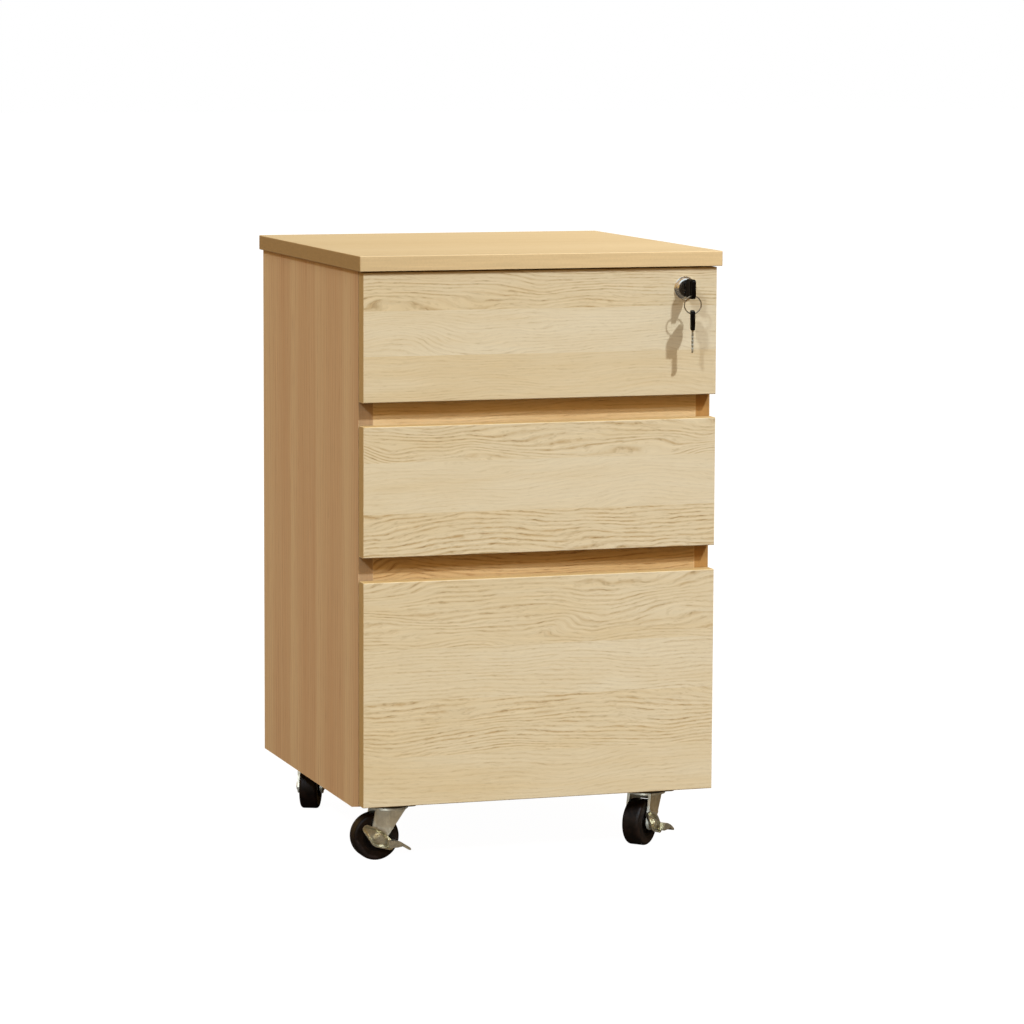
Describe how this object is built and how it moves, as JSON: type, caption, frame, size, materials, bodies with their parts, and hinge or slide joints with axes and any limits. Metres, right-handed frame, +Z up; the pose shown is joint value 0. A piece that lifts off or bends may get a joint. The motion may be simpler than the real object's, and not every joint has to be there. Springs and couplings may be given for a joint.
{
  "type": "rolling pedestal cabinet",
  "caption": "Under-desk rolling pedestal in light oak with three drawers, a key lock in the top drawer and swivel casters, braked in front.",
  "frame": {"origin": "on the floor, at the middle of the outline of the whole object seen from above", "axes": "+X to the right seen from the front, -Y out of the drawer fronts, +Z up"},
  "size_m": [0.4, 0.4394, 0.643],
  "materials": {
    "maple_top": "satin melamine",
    "side_veneer": "satin melamine",
    "oak_front": "satin melamine",
    "inner_board": "matte melamine",
    "hardboard": "matte",
    "zinc_alloy": "cast",
    "zinc_steel": "bright zinc",
    "pressed_steel": "zinc plated, dull",
    "chrome": "polished nickel",
    "key_steel": "nickel plated",
    "black_plastic": "moulded",
    "tyre_rubber": "moulded"
  },
  "bodies": {
    "carcass": {"top_panel": "maple_top", "left_side_panel": "side_veneer", "right_side_panel": "side_veneer", "bottom_panel": "inner_board", "back_panel": "side_veneer", "upper_front_rail": "oak_front", "lower_front_rail": "oak_front", "cam_fittings": "zinc_alloy", "lock_strike": "zinc_steel", "slide_outer_members": "zinc_steel", "caster_plates": "pressed_steel", "caster_plate_screws": "zinc_steel"},
    "drawer_1": {"drawer_1_front": "oak_front", "drawer_1_side_boards": "inner_board", "drawer_1_back": "inner_board", "drawer_1_floor": "hardboard", "drawer_1_slide_members": "zinc_steel", "lock_body": "chrome"},
    "drawer_2": {"drawer_2_front": "oak_front", "drawer_2_side_boards": "inner_board", "drawer_2_back": "inner_board", "drawer_2_floor": "hardboard", "drawer_2_slide_members": "zinc_steel"},
    "drawer_3": {"drawer_3_front": "oak_front", "drawer_3_side_boards": "inner_board", "drawer_3_back": "inner_board", "drawer_3_floor": "hardboard", "drawer_3_slide_members": "zinc_steel"},
    "slide_1_middle": {"slide_1_middle_members": "zinc_steel"},
    "slide_2_middle": {"slide_2_middle_members": "zinc_steel"},
    "slide_3_middle": {"slide_3_middle_members": "zinc_steel"},
    "plug": {"lock_plug": "chrome", "lock_cam": "zinc_steel", "lock_cam_screw": "zinc_steel"},
    "key": {"key_head": "black_plastic", "key_blade": "key_steel"},
    "ring": {"key_ring": "key_steel"},
    "spare_key": {"spare_key_head": "black_plastic", "spare_key_blade": "key_steel"},
    "front_left_swivel": {"front_left_fork": "pressed_steel", "front_left_axle": "pressed_steel"},
    "front_left_wheel": {"front_left_tyre": "tyre_rubber", "front_left_hub": "black_plastic"},
    "front_left_foot_brake": {"front_left_brake": "pressed_steel"},
    "front_right_swivel": {"front_right_fork": "pressed_steel", "front_right_axle": "pressed_steel"},
    "front_right_wheel": {"front_right_tyre": "tyre_rubber", "front_right_hub": "black_plastic"},
    "front_right_foot_brake": {"front_right_brake": "pressed_steel"},
    "rear_left_swivel": {"rear_left_fork": "pressed_steel", "rear_left_axle": "pressed_steel"},
    "rear_left_wheel": {"rear_left_tyre": "tyre_rubber", "rear_left_hub": "black_plastic"},
    "rear_right_swivel": {"rear_right_fork": "pressed_steel", "rear_right_axle": "pressed_steel"},
    "rear_right_wheel": {"rear_right_tyre": "tyre_rubber", "rear_right_hub": "black_plastic"}
  },
  "joints": [
    {"name": "drawer_1_slide", "type": "slide", "parent": "carcass", "child": "drawer_1", "axis": [0, -1, 0], "range_m": [0, 0.34]},
    {"name": "drawer_2_slide", "type": "slide", "parent": "carcass", "child": "drawer_2", "axis": [0, -1, 0], "range_m": [0, 0.34]},
    {"name": "drawer_3_slide", "type": "slide", "parent": "carcass", "child": "drawer_3", "axis": [0, -1, 0], "range_m": [0, 0.34]},
    {"name": "middle_1_slide", "type": "slide", "parent": "carcass", "child": "slide_1_middle", "axis": [0, -1, 0], "range_m": [0, 0.17]},
    {"name": "middle_2_slide", "type": "slide", "parent": "carcass", "child": "slide_2_middle", "axis": [0, -1, 0], "range_m": [0, 0.17]},
    {"name": "middle_3_slide", "type": "slide", "parent": "carcass", "child": "slide_3_middle", "axis": [0, -1, 0], "range_m": [0, 0.17]},
    {"name": "lock_turn", "type": "hinge", "parent": "drawer_1", "child": "plug", "pos_m": [0.159, -0.18578, 0.6041], "axis": [0, 1, 0], "range_deg": [0, 90]},
    {"name": "key_pull", "type": "slide", "parent": "plug", "child": "key", "axis": [0, -1, 0], "range_m": [0, 0.03]},
    {"name": "ring_hang", "type": "hinge", "parent": "key", "child": "ring", "pos_m": [0.159, -0.20948, 0.593], "axis": [0, 1, 0], "range_deg": [-90, 0]},
    {"name": "spare_key_swing", "type": "hinge", "parent": "ring", "child": "spare_key", "pos_m": [0.159, -0.20948, 0.57845], "axis": [1, 0, 0], "range_deg": [-60, 20]},
    {"name": "front_left_swivel_turn", "type": "hinge", "parent": "carcass", "child": "front_left_swivel", "pos_m": [-0.153, -0.13728, 0.055], "axis": [0, 0, 1], "continuous": true},
    {"name": "front_left_wheel_spin", "type": "hinge", "parent": "front_left_swivel", "child": "front_left_wheel", "pos_m": [-0.169, -0.13728, 0.025], "axis": [0, 1, 0], "continuous": true},
    {"name": "front_left_brake_press", "type": "hinge", "parent": "front_left_swivel", "child": "front_left_foot_brake", "pos_m": [-0.169, -0.13728, 0.025], "axis": [0, 1, 0], "range_deg": [0, 15]},
    {"name": "front_right_swivel_turn", "type": "hinge", "parent": "carcass", "child": "front_right_swivel", "pos_m": [0.138, -0.13728, 0.055], "axis": [0, 0, 1], "continuous": true},
    {"name": "front_right_wheel_spin", "type": "hinge", "parent": "front_right_swivel", "child": "front_right_wheel", "pos_m": [0.12649, -0.14839, 0.025], "axis": [-0.6947, 0.7193, 0], "continuous": true},
    {"name": "front_right_brake_press", "type": "hinge", "parent": "front_right_swivel", "child": "front_right_foot_brake", "pos_m": [0.12649, -0.14839, 0.025], "axis": [-0.6947, 0.7193, 0], "range_deg": [0, 15]},
    {"name": "rear_left_swivel_turn", "type": "hinge", "parent": "carcass", "child": "rear_left_swivel", "pos_m": [-0.153, 0.16572, 0.055], "axis": [0, 0, 1], "continuous": true},
    {"name": "rear_left_wheel_spin", "type": "hinge", "parent": "rear_left_swivel", "child": "rear_left_wheel", "pos_m": [-0.15951, 0.15111, 0.025], "axis": [-0.9135, 0.4067, 0], "continuous": true},
    {"name": "rear_right_swivel_turn", "type": "hinge", "parent": "carcass", "child": "rear_right_swivel", "pos_m": [0.138, 0.16572, 0.055], "axis": [0, 0, 1], "continuous": true},
    {"name": "rear_right_wheel_spin", "type": "hinge", "parent": "rear_right_swivel", "child": "rear_right_wheel", "pos_m": [0.15304, 0.16025, 0.025], "axis": [-0.342, -0.9397, 0], "continuous": true}
  ],
  "couplings": [
    {"joint": "middle_1_slide", "follows": "drawer_1_slide", "ratio": 0.5},
    {"joint": "middle_2_slide", "follows": "drawer_2_slide", "ratio": 0.5},
    {"joint": "middle_3_slide", "follows": "drawer_3_slide", "ratio": 0.5},
    {"joint": "ring_hang", "follows": "lock_turn", "ratio": -1}
  ]
}
